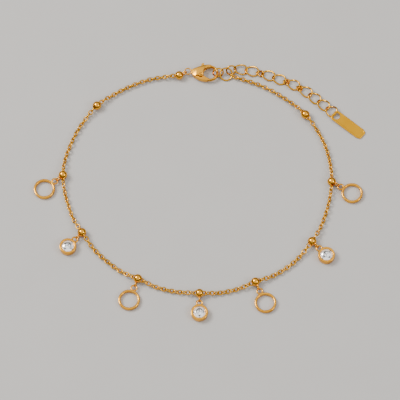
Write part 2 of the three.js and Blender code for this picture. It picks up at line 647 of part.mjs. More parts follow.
// The fine chain's tube, with its last link on jump ring B
function chainNode(route) {
  const section = new THREE.Shape();
  for (let i = 0; i < CHAIN_SIDES; i += 1) {
    const angle = (i * FULL_TURN) / CHAIN_SIDES;
    const x = (CHAIN_WIDTH / 2) * Math.cos(angle);
    const y = (CHAIN_WIDTH / 2) * Math.sin(angle);
    if (i) section.lineTo(x, y);
    else section.moveTo(x, y);
  }
  const stations = chainStations(route);
  const tube = new THREE.ExtrudeGeometry(section, {
    extrudePath: new StationCurve(stations), steps: stations.length - 1, bevelEnabled: false,
  });
  const size = { length: CHAIN_LINK_LENGTH, width: CHAIN_WIDTH, wire: CHAIN_WIRE };
  const link = wireLink({ ...size, steps: LOOP_STEPS })
    .rotateX(Math.PI / 2)
    .rotateZ(rad(LAST_LINK_HEADING))
    .translate(LAST_LINK.x, LAST_LINK.y, LAST_LINK.z);
  return node('cable_chain', join(tube, link), GOLD);
}

function addChain(anklet) {
  const route = chainRoute();
  anklet.add(chainNode(route));
  const [end, ...others] = route.holds;
  const toClasp = heading(END_HEADING + 180);
  anklet.add(endBeadNode('end_bead', route.point(end.at), route.tangent(end.at), toClasp));
  const counts = { station: 0, ring: 0, bezel: 0 };
  others.forEach(({ bead, at, turn }) => {
    counts[bead] += 1;
    const centre = route.point(at);
    if (bead === 'station') {
      anklet.add(beadNode(`station_bead_${counts.station}`, centre, route.tangent(at)));
      return;
    }
    const number = counts.ring + counts.bezel;
    const direction = heading(turn);
    anklet.add(beadNode(`charm_bead_${number}`, centre, route.tangent(at), direction));
    const charm = new THREE.Group();
    const out = LOOP_OUT + (bead === 'ring' ? RING_LOOP_OUT : BEZEL_LOOP_OUT);
    if (bead === 'ring') charm.add(ringCharm(`ring_charm_${counts.ring}`));
    else charm.add(bezel(`bezel_${counts.bezel}`), cutStone(`stone_${counts.bezel}`));
    charm.position.copy(step(centre, direction, out)).setZ(0);
    charm.rotation.z = rad(turn);
    anklet.add(charm);
  });
}

// Extender: a round link on jump ring B, then twisted links that hold one another, a tag ring and the tag
const FIRST_LINK = {
  lean: 53, pitch: -22, turn: 0, forward: 2.3569 * HOOK, side: 0.6039 * HOOK, lift: REST_LIFT,
};
const KINDS = {
  large: { length: LARGE_LENGTH, width: LARGE_WIDTH, wire: EXTENDER_WIRE, twist: LINK_TWIST },
  small: { length: SMALL_LENGTH, width: SMALL_WIDTH, wire: EXTENDER_WIRE, twist: SMALL_TWIST },
  middle: { length: MIDDLE_LENGTH, width: SMALL_WIDTH, wire: EXTENDER_WIRE, twist: SMALL_TWIST },
  end: { length: END_LINK, width: END_LINK, wire: EXTENDER_WIRE, twist: END_TWIST },
};
const LINK_PLAY = 0.13;

function addExtender(anklet) {
  const firstHeight = restHeight(FIRST_LINK, ROUND_LENGTH, EXTENDER_WIRE);
  let centre = claspPoint(FIRST_LINK.forward, FIRST_LINK.side, firstHeight);
  const first = node('extender_link_1', ringWire(ROUND_LENGTH, EXTENDER_WIRE), GOLD);
  anklet.add(layAt(first, centre, FIRST_LINK));
  let reach = ROUND_LENGTH / 2;
  EXTENDER.forEach((row, i) => {
    const kind = KINDS[row.kind];
    const pitch = reach + kind.length / 2 - 2 * EXTENDER_WIRE - LINK_PLAY - (row.slack ?? 0);
    const rest = kind.twist + EXTENDER_WIRE / 2;
    centre = step(centre, heading(row.heading), pitch).setZ(rest + (row.lift ?? 0));
    const next = EXTENDER[i + 1] ? EXTENDER[i + 1].heading : TAG_HEADING;
    const turn = row.turn ?? 0.5 * (row.heading + next);
    const link = node(`extender_link_${i + 2}`, wireLink(kind), GOLD);
    anklet.add(lay(link, centre, heading(turn), 0, row.pitch ?? 0));
    reach = kind.length / 2;
  });
  anklet.add(endTag(centre));
}

// The tag's near end lies over the last link's wire, so its far end alone meets the surface
function endTag(linkCentre) {
  const half = TAG_WIDTH / 2;
  const near = -TAG_HOLE_INSET;
  const far = TAG_LENGTH - TAG_HOLE_INSET;
  const shape = new THREE.Shape();
  shape.absarc(far - TAG_CORNER, half - TAG_CORNER, TAG_CORNER, 0, Math.PI / 2, false);
  shape.absarc(near + TAG_CORNER, half - TAG_CORNER, TAG_CORNER, Math.PI / 2, Math.PI, false);
  shape.absarc(near + TAG_CORNER, TAG_CORNER - half, TAG_CORNER, Math.PI, 1.5 * Math.PI, false);
  shape.absarc(far - TAG_CORNER, TAG_CORNER - half, TAG_CORNER, 1.5 * Math.PI, FULL_TURN, false);
  const hole = disc(TAG_HOLE, 4 * TAG_THICKNESS, 0, CHARM_SIDES);
  const bar = cut(plate(shape, TAG_THICKNESS, 0, TAG_RIM, 3), hole);
  const out = (END_LINK - EXTENDER_WIRE) / 2 + TAG_HOLE / 2 - EXTENDER_WIRE / 2 - LINK_PLAY;
  const tilt = THREE.MathUtils.radToDeg(Math.asin((linkCentre.z - TAG_THICKNESS / 2) / far));
  const centre = step(linkCentre, heading(TAG_HOLE_HEADING), out);
  return lay(node('end_tag', bar, PALE_GOLD), centre, heading(TAG_HEADING), 0, -tilt);
}

const anklet = new THREE.Group();
addClasp(anklet);
addJumpRings(anklet);
addChain(anklet);
addExtender(anklet);

// The origin is the centre of the bounding box's bottom
const box = new THREE.Box3().setFromObject(anklet, true);
const middle = box.getCenter(new THREE.Vector3());
anklet.position.set(-middle.x, -middle.y, -box.min.z);

export default anklet;
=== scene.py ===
# Gold charm anklet lying closed on a pale floor, seen from about 65 degrees above it.
# Tables and forms are in millimetres and degrees, as in the part's source. finished() turns the forms into
# metres. The camera, the floor, the lights and the waves of the golds are in metres.
import math
import random

import bmesh
import bpy
from mathutils import Matrix, Quaternion, Vector


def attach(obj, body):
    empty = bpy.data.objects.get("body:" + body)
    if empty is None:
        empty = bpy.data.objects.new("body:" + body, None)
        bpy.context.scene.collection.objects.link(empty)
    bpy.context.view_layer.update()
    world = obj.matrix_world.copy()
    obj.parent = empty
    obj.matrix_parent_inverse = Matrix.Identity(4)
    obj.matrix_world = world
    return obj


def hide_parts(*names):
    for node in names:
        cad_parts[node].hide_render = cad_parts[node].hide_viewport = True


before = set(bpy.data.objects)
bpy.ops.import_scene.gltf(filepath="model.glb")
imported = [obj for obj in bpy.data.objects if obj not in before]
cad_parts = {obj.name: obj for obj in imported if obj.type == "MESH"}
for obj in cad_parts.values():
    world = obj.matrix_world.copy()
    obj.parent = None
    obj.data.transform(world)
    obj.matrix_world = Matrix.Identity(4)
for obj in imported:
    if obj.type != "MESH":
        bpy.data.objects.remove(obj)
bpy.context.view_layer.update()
MM = 0.001
rng = random.Random(7)

# The origin of the traced tables below, in the part's frame
ORIGIN = Vector((-0.1482, -2.9274, 0.0))
# How far a turned outline stays off its axis
AXIS_GAP = 0.0005

# Chain
CHAIN_WIDTH = 1.44
CHAIN_WIRE = 0.38
CHAIN_LINK_LENGTH = 1.88
CHAIN_PITCH = 1.12
CHAIN_HEIGHT = 0.715
FLAT_ROLL = 4
EDGE_ROLL = 80
ROLL_PLAY = 5
# Further roll of every link where the chain's heading has this share of Y
SIDE_ROLL = 45
SIDE_START = 0.78
SIDE_RUN = 0.15
# The chain rises to each bead's bore
BEAD_FLAT = 1.7
RISE_LENGTH = 4.5
CURVE_SAMPLES = 40
TANGENT_STEP = 0.3
TANGENT_PAST_END = 0.7

# Beads
BEAD_RADIUS = 1.25
BORE_RADIUS = 0.74
BORE_EDGE = 0.05
BORE_ANGLE = math.asin(BORE_RADIUS / BEAD_RADIUS)
CLOSED_ANGLE = 0.02
BALL_BANDS = 28
BALL_STEPS = 56
EYE_DIAMETER = 1.9
EYE_WIRE = 0.4
EYE_OUT = 1.62
EYE_HEIGHT = 0.98
EYE_GAP = 0.07
END_HEADING = 209
END_TANGENT_AT = 0.2

# Charms. A loop's place is (out from the charm's middle, up).
LOOP_DIAMETER = 2.02
LOOP_WIRE = 0.46
LOOP_OUT = 2.88
LOOP_PLACE = {"ring": (3.69, 0.80), "bezel": (2.84, 1.04)}
RING_DIAMETER = 6.0
RING_WIDTH = 0.66
RING_HEIGHT = 1.05
RING_ROUNDING = 0.3

# Stone
STONE_RADIUS = 1.8
STONE_GAP = 0.09
GIRDLE_LOW = 1.15
GIRDLE_TOP = 1.25
CROWN = 0.48
PAVILION = 1.02
TABLE_RADIUS = 1.06
STAR_RADIUS = 1.46
STAR_RISE = 0.6
LOWER_RADIUS = 0.5
LOWER_DEPTH = 0.76
# The rings of the painted reflections of the facets below, as the table shows them
CULET_IMAGE = 0.2
ARC_IMAGE = 0.72
# Painted reflections: the brightness painted on each facet in place of the light that it throws back, which
# also sets its painted glow. Those with eight values go round the stone from its loop.
PAINTED_FACET_REFLECTIONS = {
    "core": (1.0, 0.5, 1.0, 0.25, 0.5, 1.0, 0.5, 1.0),
    "arc": (0.8, 0.6, 0.05, 0.0, 0.0, 0.05, 0.6, 0.8),
    "star": (0.0, 1.0, 0.2, 1.0, 0.6, 1.0, 0.2, 1.0),
    "upper": (0.3, 1.0, 0.1, 1.0, 0.5, 1.0, 0.1, 1.0),
    "culet": 0.3, "kite": 1.0, "upper_pair": 0.8, "lower": 0.3, "lower_pair": 0.6, "girdle": 0.1,
}

# What the corners of the bezel's outline are measured from
BEZEL_RADII = {"hole": 0.9, "lip": 1.73, "groove": STONE_RADIUS + STONE_GAP, "wall": 2.35}
BEZEL_HEIGHTS = {"back": 0, "girdle_low": GIRDLE_LOW, "girdle_top": GIRDLE_TOP, "top": 1.65}
# The bezel's outline from its back round the wall, the lip and the stone's seat, as (radius, further out,
# height, further up)
BEZEL_OUTLINE = [
    ("hole", 0, "back", 0), ("wall", -0.1, "back", 0), ("wall", 0, "back", 0.2),
    ("wall", 0, "top", -0.12), ("wall", -0.05, "top", -0.03), ("wall", -0.14, "top", 0),
    ("lip", 0.08, "top", -0.02), ("lip", 0, "top", -0.16),
    ("groove", 0, "girdle_top", 0.04), ("groove", 0, "girdle_low", -0.04),
    ("lip", -0.04, "girdle_low", -0.16), ("hole", 0, "back", 0.3),
]
BEZEL_ROUNDING = 0.12

# Clasp. Its own X runs from the tail to the hook, and MID is the middle of its height.
CLASP_PLACE = Vector((2.78, 39.41, 0.0))
CLASP_TURN = -6.0
MID = 1.1
PIVOT = (-2.49, -0.94)
PIN = {"radius": 0.35, "low": 0.02, "high": 2.18, "rounding": 0.12, "steps": 40}
TAIL_EYE_OUT = 6.25
TAIL_EYE_RADIUS = 0.95
TAIL_EYE_WIRE = 0.4
WELD = 0.0005
VOXEL = 0.045
SOFT_ROUNDS = 8
# The body's faces drop towards its long edges, behind the nose and away from its middle height
DOME = {"drop": 0.3, "half_width": 2.5, "behind": 0.2, "run": 1.2, "depth": 0.5, "depth_run": 0.4}
# The stretch that is rounded, from "low" to "high" along X. Each round draws its ends further in.
ROUNDED = {"rounds": 24, "low": -4.7, "high": 0.2, "low_in": 0.5, "high_in": 0.8}

# Jump rings and extender. The drawn wire has the centre line of the part's own thinner wires.
JUMP_WIRE = 0.4
EXTENDER_WIRE = 0.36
DRAWN_WIRE = 0.48
WIRE_STEPS = 56
LINK_PLAY = 0.13
# The two jump rings and the first extender link lean on one another. Place is on the clasp's X and Y.
RING_A = {
    "diameter": 3.3, "wire": JUMP_WIRE, "lean": 64, "pitch": -21, "turn": -3, "place": (2.38, 0.3), "lift": 0,
}
RING_B = {
    "diameter": 3.88, "wire": JUMP_WIRE, "lean": 24.5, "pitch": -3, "turn": 0, "place": (4.68, 0.26),
    "lift": 0.03,
}
FIRST_LINK = {
    "diameter": 3.1, "wire": EXTENDER_WIRE, "lean": 53, "pitch": -22, "turn": 0, "place": (6.01, 1.54),
    "lift": 0.03,
}
KINDS = {
    "large": {"length": 4.15, "width": 3.25, "twist": 0.4},
    "small": {"length": 2.0, "width": 1.9, "twist": 0.38},
    "middle": {"length": 2.45, "width": 1.9, "twist": 0.38},
    "end": {"length": 3.5, "width": 3.5, "twist": 0.54},
}
# The extender's other links, as (kind, heading of the step to it, values of its own)
EXTENDER = [
    ("large", 9.8, {"turn": -1, "pitch": -7, "lift": 0.25, "slack": 0.08}), ("large", -6, {"slack": 0.05}),
    ("middle", -18, {}), ("large", -15, {}), ("large", -22, {}), ("small", -22, {}),
    ("large", -24, {"slack": 0.1}), ("small", -33, {"slack": 0.1}), ("large", -31, {"slack": 0.1}),
    ("large", -40, {"slack": 0.12}), ("large", -41, {}), ("end", -43, {}),
]

# Tag
TAG = {"length": 10.8, "width": 3.3, "thickness": 0.4, "corner": 1.0, "hole": 2.0, "inset": 1.25}
TAG_BORDER = 0.42
TAG_SUNK = 0.035
TAG_LEAST_CORNER = 0.15
# The upper half of the tag's section from the hole outwards, as (edge, distance from it, depth below the top)
TAG_SECTION = [
    ("hole", 0, TAG_SUNK + 0.06), ("hole", 0.06, TAG_SUNK),
    ("outline", TAG_BORDER + 0.03, TAG_SUNK), ("outline", TAG_BORDER - 0.03, 0),
    ("outline", 0.08, 0), ("outline", 0.02, 0.03), ("outline", 0, 0.09),
]
TAG_ANGLES = 64
TAG_CORNER_STEPS = 10
TAG_HOLE_HEADING = -50
TAG_HEADING = -39

# The chain's route, as (x, y, bead, direction of the bead's charm)
ROUTE = [
    (-12.6, 38.0), (-17.4, 36.5), (-22.0, 34.3), (-25.9, 31.8), (-29.25, 29.0, "station"),
    (-32.4, 25.0), (-34.8, 21.0), (-36.9, 15.9), (-38.1, 11.6), (-38.5, 7.2, "ring", -141.6),
    (-38.0, 2.5), (-36.8, -2.1), (-35.2, -6.5), (-32.85, -10.5, "bezel", -131.9),
    (-29.3, -15.6), (-25.2, -19.6), (-21.2, -22.6), (-17.2, -24.5, "ring", -110.8),
    (-12.8, -26.6), (-8.5, -27.9), (-4.2, -28.6), (-0.15, -28.9, "bezel", -90),
    (3.7, -28.8), (7.7, -28.2), (11.6, -27.1), (15.3, -25.5, "ring", -65.6),
    (20.0, -23.6), (24.5, -20.7), (28.1, -17.2), (31.15, -13.2, "bezel", -47),
    (33.3, -9.4), (35.0, -4.9), (36.3, 0.1), (36.95, 5.15, "ring", -30.3),
    (36.8, 9.8), (36.0, 14.2), (34.7, 18.2), (32.7, 22.2), (29.85, 26.2, "station"),
    (26.7, 29.5), (23.2, 32.2), (19.4, 34.6), (15.3, 36.5),
]
# The chain's last link, on the larger jump ring
LAST_LINK_HEADING = -29
LAST_LINK_BEARING = -14
LAST_LINK_OUT = 0.05
LAST_LINK_LIFT = 0.12
LAST_LINK_HALF = 0.71

# Golds. Dark and light are the ends of the slow change of tone, and haze is the scale of the polish.
GOLDS = {
    "polished_gold": {
        "dark": (0.8, 0.36, 0.025), "light": (0.88, 0.43, 0.04),
        "rough": (0.1, 0.16), "haze": 900, "wave": 0.000004,
    },
    "chain_gold": {
        "dark": (0.66, 0.325, 0.014), "light": (0.8, 0.415, 0.035),
        "rough": (0.12, 0.2), "haze": 900, "wave": 0.000004,
    },
    "clasp_gold": {
        "dark": (0.8, 0.37, 0.03), "light": (0.88, 0.44, 0.05),
        "rough": (0.16, 0.24), "haze": 900, "wave": 0.000004,
    },
    "tag_gold": {
        "dark": (0.67, 0.325, 0.005), "light": (0.71, 0.355, 0.009),
        "rough": (0.34, 0.4), "haze": 2400, "wave": 0.000002,
    },
}
# The least angle between two faces that meet in a sharp edge
SHARP = 50
TAG_SHARP = 14

# Camera, floor and light
CAMERA_DISTANCE = 0.8
CAMERA_ELEVATION = 65.0
CAMERA_LENS = 257.0
FLOOR_SIZE = 2.0
FLOOR_DROP = 0.00002
LIGHTS = {
    "key": {"place": (-0.62, 0.24, 0.74), "size": (0.45, 0.4), "power": 10.0, "colour": (1.0, 0.98, 0.95)},
    "fill": {"place": (0.73, -0.29, 0.62), "size": (0.34, 0.28), "power": 2.6, "colour": (1.0, 1.0, 1.0)},
}
SKY_STRENGTH = 1.3


def heading(degrees):
    return Vector((math.cos(math.radians(degrees)), math.sin(math.radians(degrees)), 0.0))


def level(vector):
    return Vector((vector.x, vector.y, 0.0))


def upwards(distance):
    return Vector((0.0, 0.0, distance))


def smooth_step(x):
    x = min(max(x, 0.0), 1.0)
    return x * x * (3 - 2 * x)


def turned(degrees, axis):
    return Matrix.Rotation(math.radians(degrees), 4, axis)


def laid(centre, along, roll=0.0, pitch=0.0):
    """The placing of a piece whose length is its own X, as the part's source lays it."""
    turn = Quaternion((0, 0, 1), math.atan2(along.y, along.x))
    turn = turn @ Quaternion((0, -1, 0), math.radians(pitch)) @ Quaternion((1, 0, 0), math.radians(roll))
    return Matrix.Translation(centre) @ turn.to_matrix().to_4x4()


# Mesh code. A form is (points, faces), and each function with form in its name returns one.
def grid_form(rings):
    """Quads between rings of equally many points, the last ring joined to the first."""
    count = len(rings[0])
    points = [p for ring in rings for p in ring]
    faces = []
    for i in range(len(rings)):
        a, b = i * count, ((i + 1) % len(rings)) * count
        faces += [(a + j, b + j, b + (j + 1) % count, a + (j + 1) % count) for j in range(count)]
    return points, faces


def wire_form(length, width, wire, twist=0.0, steps=40, sides=14):
    """A closed wire link. Twist lifts two opposite quarters and lowers the other two."""
    half_length, half_width = (length - wire) / 2, (width - wire) / 2
    rings = []
    for i in range(steps):
        a = 2 * math.pi * i / steps
        cos, sin = math.cos(a), math.sin(a)
        centre = Vector((half_length * cos, half_width * sin, 2 * twist * sin * cos))
        out = Vector((half_width * cos, half_length * sin, 0)).normalized()
        rings.append([
            centre + out * (wire / 2 * math.cos(b)) + upwards(wire / 2 * math.sin(b))
            for b in (2 * math.pi * j / sides for j in range(sides))
        ])
    return grid_form(rings)


def ring_form(diameter, wire, steps=40):
    return wire_form(diameter, diameter, wire, steps=steps)


def filleted(corners, radius, steps):
    """A closed outline of (x, y) corners, each rounded by up to radius."""
    outline = []
    for i, corner in enumerate(corners):
        here = Vector(corner)
        before, after = Vector(corners[i - 1]) - here, Vector(corners[(i + 1) % len(corners)]) - here
        cut = min(radius, 0.45 * before.length, 0.45 * after.length)
        start, end = here + before.normalized() * cut, here + after.normalized() * cut
        for k in range(steps + 1):
            t = k / steps
            outline.append(start * (1 - t) ** 2 + here * (2 * t * (1 - t)) + end * t * t)
    return outline


def lathe_form(profile, steps=96):
    """A closed (radius, height) outline turned about Z."""
    rings = []
    for i in range(steps):
        a = 2 * math.pi * i / steps
        rings.append([Vector((p[0] * math.cos(a), p[0] * math.sin(a), p[1])) for p in profile])
    return grid_form(rings)


def moved(form, place):
    points, faces = form
    return [place @ p for p in points], faces


def merged(*forms):
    points, faces = [], []
    for more_points, more_faces in forms:
        start = len(points)
        points = points + more_points
        faces = faces + [tuple(start + i for i in face) for face in more_faces]
    return points, faces


def finished(name, node, form, finish, body="anklet", origin=ORIGIN, sharp=SHARP, painted_reflections=()):
    """An object in metres from a form in millimetres, in place of a node of the part and riding on its body.

    The finish is (material, slot). A form with painted reflections, one a face, keeps its flat facets.
    """
    points, faces = form
    material, slot_name = finish
    mesh = bpy.data.meshes.new(name)
    mesh.from_pydata([(p + origin) * MM for p in points], [], faces)
    bm = bmesh.new()
    bm.from_mesh(mesh)
    bmesh.ops.recalc_face_normals(bm, faces=bm.faces)
    bm.to_mesh(mesh)
    bm.free()
    if painted_reflections:
        mesh.attributes.new("painted_facet_reflection", "FLOAT", "FACE").data.foreach_set("value", painted_reflections)
    else:
        mesh.polygons.foreach_set("use_smooth", [True] * len(mesh.polygons))
        mesh.set_sharp_from_angle(angle=math.radians(sharp))
    mesh.materials.append(material)
    piece = bpy.data.objects.new(name, mesh)
    bpy.context.scene.collection.objects.link(piece)
    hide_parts(node)
    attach(piece, body)


# Materials
def node_material(name):
    material = bpy.data.materials.new(name)
    material.use_nodes = True
    nodes = material.node_tree.nodes
    return material, nodes, material.node_tree.links, nodes["Principled BSDF"]


def noise(nodes, links, coordinates, scale, detail):
    texture = nodes.new("ShaderNodeTexNoise")
    texture.inputs["Scale"].default_value = scale
    texture.inputs["Detail"].default_value = detail
    links.new(coordinates.outputs["Object"], texture.inputs["Vector"])
    return texture.outputs["Fac"]


def ranged(nodes, links, source, low, high):
    """The source's middle span mapped to low..high."""
    spread = nodes.new("ShaderNodeMapRange")
    spread.inputs["From Min"].default_value = 0.3
    spread.inputs["From Max"].default_value = 0.7
    spread.inputs["To Min"].default_value = low
    spread.inputs["To Max"].default_value = high
    links.new(source, spread.inputs["Value"])
    return spread.outputs["Result"]


def ramped(nodes, links, source, dark, light, start=0.0, end=1.0):
    """The source mapped to the colours from dark, at start, to light, at end."""
    ramp = nodes.new("ShaderNodeValToRGB")
    for stop, position, colour in zip(ramp.color_ramp.elements, (start, end), (dark, light)):
        stop.position = position
        stop.color = (*colour, 1)
    links.new(source, ramp.inputs["Fac"])
    return ramp.outputs["Color"]


def gold_material(name, dark, light, rough, haze, wave):
    """Polished plated metal: a slow change of tone, fine polishing haze and a slightly uneven surface."""
    material, nodes, links, shader = node_material(name)
    coordinates = nodes.new("ShaderNodeTexCoord")
    shader.inputs["Metallic"].default_value = 1.0
    tone = noise(nodes, links, coordinates, scale=260, detail=3)
    colour = ramped(nodes, links, tone, dark, light, start=0.35, end=0.65)
    links.new(colour, shader.inputs["Base Color"])
    polish = noise(nodes, links, coordinates, scale=haze, detail=5)
    links.new(ranged(nodes, links, polish, *rough), shader.inputs["Roughness"])
    bump = nodes.new("ShaderNodeBump")
    bump.inputs["Strength"].default_value = 0.35
    bump.inputs["Distance"].default_value = wave
    links.new(noise(nodes, links, coordinates, scale=1400, detail=2), bump.inputs["Height"])
    links.new(bump.outputs["Normal"], shader.inputs["Normal"])
    return material


def stone_material():
    """Clear stone: each cut facet has its own painted reflection, which also glows faintly as painted light,
    with a faint change of haze.
    """
    material, nodes, links, shader = node_material("clear_cut_stone")
    coordinates = nodes.new("ShaderNodeTexCoord")
    shader.inputs["Metallic"].default_value = 0.7
    shader.inputs["Transmission Weight"].default_value = 0.6
    shader.inputs["IOR"].default_value = 2.1
    # Painted glow: the stone faintly emits the colour of its painted facet reflections, though it is no lamp.
    shader.inputs["Emission Strength"].default_value = 0.4
    facet = nodes.new("ShaderNodeAttribute")
    facet.attribute_name = "painted_facet_reflection"
    # Each facet's base colour is its painted reflection, from dark to white.
    colour = ramped(nodes, links, facet.outputs["Fac"], (0.06, 0.055, 0.045), (1.0, 1.0, 1.0))
    links.new(colour, shader.inputs["Base Color"])
    links.new(colour, shader.inputs["Emission Color"])
    haze = noise(nodes, links, coordinates, scale=900, detail=2)
    links.new(ranged(nodes, links, haze, 0.0, 0.03), shader.inputs["Roughness"])
    return material


def floor_material():
    material, nodes, links, shader = node_material("pale_floor")
    coordinates = nodes.new("ShaderNodeTexCoord")
    tone = noise(nodes, links, coordinates, scale=60, detail=6)
    colour = ramped(nodes, links, tone, (0.46, 0.447, 0.43), (0.49, 0.477, 0.46))
    links.new(colour, shader.inputs["Base Color"])
    shader.inputs["Roughness"].default_value = 0.75
    return material


# Finishes, as (material, slot)
golds = {name: gold_material(name, **values) for name, values in GOLDS.items()}
POLISHED = (golds["polished_gold"], "gold")
WIRE = (golds["chain_gold"], "gold")
CAST = (golds["clasp_gold"], "bright_gold")
FLAT = (golds["tag_gold"], "bright_gold")
STONE = (stone_material(), "clear_stone")


def add_camera():
    camera = bpy.data.objects.new("camera", bpy.data.cameras.new("camera"))
    bpy.context.scene.collection.objects.link(camera)
    angle = math.radians(CAMERA_ELEVATION)
    camera.location = ORIGIN * MM + Vector((0, -math.cos(angle), math.sin(angle))) * CAMERA_DISTANCE
    camera.rotation_euler = (math.radians(90 - CAMERA_ELEVATION), 0, 0)
    camera.data.lens = CAMERA_LENS
    camera.data.sensor_width = 36.0
    camera.data.clip_start = 0.01
    bpy.context.scene.camera = camera


add_camera()


# Places on the clasp and on the rings beside it
def clasp_point(x, y, z):
    return CLASP_PLACE + heading(CLASP_TURN) * x + heading(CLASP_TURN + 90) * y + upwards(z)


def ring_centre(ring):
    """The centre of a leaning ring whose lowest point is lifted off the floor by its lift."""
    upright = math.cos(math.radians(ring["lean"])) * math.cos(math.radians(ring["pitch"]))
    reach = (ring["diameter"] - ring["wire"]) / 2
    height = ring["wire"] / 2 + reach * math.sqrt(1 - upright * upright) + ring["lift"]
    return clasp_point(*ring["place"], height)


TAIL_EYE = clasp_point(-TAIL_EYE_OUT, 0, MID)
END_BEAD = TAIL_EYE + heading(END_HEADING) * (
    EYE_OUT + (EYE_DIAMETER - EYE_WIRE) / 2 - EYE_WIRE / 2 - TAIL_EYE_WIRE / 2 - EYE_GAP + TAIL_EYE_RADIUS)
LAST_LINK = ring_centre(RING_B) + heading(LAST_LINK_BEARING) * (
    (RING_B["diameter"] - JUMP_WIRE) / 2 + LAST_LINK_OUT)
LAST_LINK.z = CHAIN_HEIGHT + LAST_LINK_LIFT
CHAIN_END = LAST_LINK + heading(LAST_LINK_HEADING) * LAST_LINK_HALF


def catmull(a, b, c, d, t):
    """A point between b and c on the uniform curve through a, b, c and d."""
    v0, v1 = (c - a) / 2, (d - b) / 2
    return (2 * b - 2 * c + v0 + v1) * t ** 3 + (3 * c - 3 * b - 2 * v0 - v1) * t ** 2 + v0 * t + b


class Route:
    """The chain's centreline by length along it, and the beads on it.

    Past its total length it goes on from the chain's end to the middle of the last link.
    """

    def __init__(self):
        rows = [(END_BEAD.x, END_BEAD.y, "end"), *ROUTE, (CHAIN_END.x, CHAIN_END.y)]
        knots = [Vector((row[0], row[1], 0)) for row in rows]
        knots = [knots[0] * 2 - knots[1], *knots, knots[-1] * 2 - knots[-2]]
        self.points, self.lengths, self.holds = [], [], []
        for i, row in enumerate(rows):
            at_end = i == len(rows) - 1
            for k in range(1 if at_end else CURVE_SAMPLES):
                point = knots[i + 1] if at_end else catmull(*knots[i:i + 4], k / CURVE_SAMPLES)
                far = self.lengths[-1] + (point - self.points[-1]).length if self.points else 0.0
                self.points.append(point)
                self.lengths.append(far)
                if k == 0 and len(row) > 2:
                    self.holds.append({"at": far, "bead": row[2], "turn": row[3] if len(row) > 3 else None})
        self.total = self.lengths[-1]

    def height(self, at):
        to_bore = BEAD_RADIUS - CHAIN_HEIGHT
        rises = [to_bore * (1 - smooth_step((abs(at - hold["at"]) - BEAD_FLAT) / RISE_LENGTH))
                 for hold in self.holds]
        lift = LAST_LINK_LIFT * (1 - smooth_step((self.total - at) / RISE_LENGTH))
        return CHAIN_HEIGHT + max(*rises, lift)

    def point(self, at):
        if at > self.total:
            place = CHAIN_END.lerp(LAST_LINK, (at - self.total) / LAST_LINK_HALF)
        else:
            low, high = 0, len(self.lengths) - 1
            while high - low > 1:
                middle = (low + high) // 2
                low, high = (middle, high) if self.lengths[middle] <= at else (low, middle)
            t = (at - self.lengths[low]) / (self.lengths[high] - self.lengths[low])
            place = self.points[low].lerp(self.points[high], min(t, 1.0))
        place.z = self.height(min(at, self.total))
        return place

    def tangent(self, at):
        ahead = self.point(min(at + TANGENT_STEP, self.total + TANGENT_PAST_END))
        return (ahead - self.point(max(at - TANGENT_STEP, 0.0))).normalized()


route = Route()


def add_chain():
    """Closed oval links that lie flat and lean on edge by turns, as a chain on a surface does.

    On the two sides, where the chain runs straight up the view, all of them lean halfway.
    """
    link = wire_form(CHAIN_LINK_LENGTH, CHAIN_WIDTH, CHAIN_WIRE, steps=20, sides=8)
    start = route.total + LAST_LINK_HALF
    links = []
    for k in range(int(start / CHAIN_PITCH) + 1):
        at = start - k * CHAIN_PITCH
        along = route.tangent(at)
        side = SIDE_ROLL * smooth_step((abs(along.y) - SIDE_START) / SIDE_RUN)
        play = rng.uniform(-ROLL_PLAY, ROLL_PLAY) if k > 1 else 0
        roll = (FLAT_ROLL if k % 2 else EDGE_ROLL) + side + play
        pitch = math.degrees(math.asin(along.z))
        links.append(moved(link, laid(route.point(at), along, roll, pitch)))
    finished("fine_chain", "cable_chain", merged(*links), WIRE)


# Beads
def ball_form(start_angle, end_angle):
    """A ball with bores about its own X, from the inner edge of one bore round to the other."""
    profile = []
    for i in range(BALL_BANDS + 1):
        a = start_angle + (end_angle - start_angle) * i / BALL_BANDS
        profile.append((BEAD_RADIUS * math.sin(a), -BEAD_RADIUS * math.cos(a)))
    first, last = profile[0], profile[-1]
    inner = [
        (max(last[0] - BORE_EDGE, AXIS_GAP), last[1] - BORE_EDGE),
        (max(first[0] - BORE_EDGE, AXIS_GAP), first[1] + BORE_EDGE),
    ]
    return moved(lathe_form([*profile, *inner], BALL_STEPS), turned(90, "Y"))


def upright_eye(centre, direction, height):
    place = Matrix.Translation(level(centre) + direction * EYE_OUT + upwards(height))
    turn = Matrix.Rotation(math.atan2(direction.y, direction.x), 4, "Z") @ turned(90, "X")
    return moved(ring_form(EYE_DIAMETER, EYE_WIRE, steps=32), place @ turn)


# Charms
def with_loop(form, kind):
    out, up = LOOP_PLACE[kind]
    return merged(form, moved(ring_form(LOOP_DIAMETER, LOOP_WIRE), Matrix.Translation((-out, 0, up))))


def ring_charm_form():
    outer, inner = RING_DIAMETER / 2, RING_DIAMETER / 2 - RING_WIDTH
    band = [(inner, 0), (outer, 0), (outer, RING_HEIGHT), (inner, RING_HEIGHT)]
    return with_loop(lathe_form(filleted(band, RING_ROUNDING, steps=6)), "ring")


def bezel_form():
    corners = [(BEZEL_RADII[radius] + out, BEZEL_HEIGHTS[height] + up)
               for radius, out, height, up in BEZEL_OUTLINE]
    return with_loop(lathe_form(filleted(corners, BEZEL_ROUNDING, steps=3)), "bezel")


def around(radius, z, count, shift=0.0):
    angles = [2 * math.pi * (i + shift) / count for i in range(count)]
    return [Vector((radius * math.cos(a), radius * math.sin(a), z)) for a in angles]


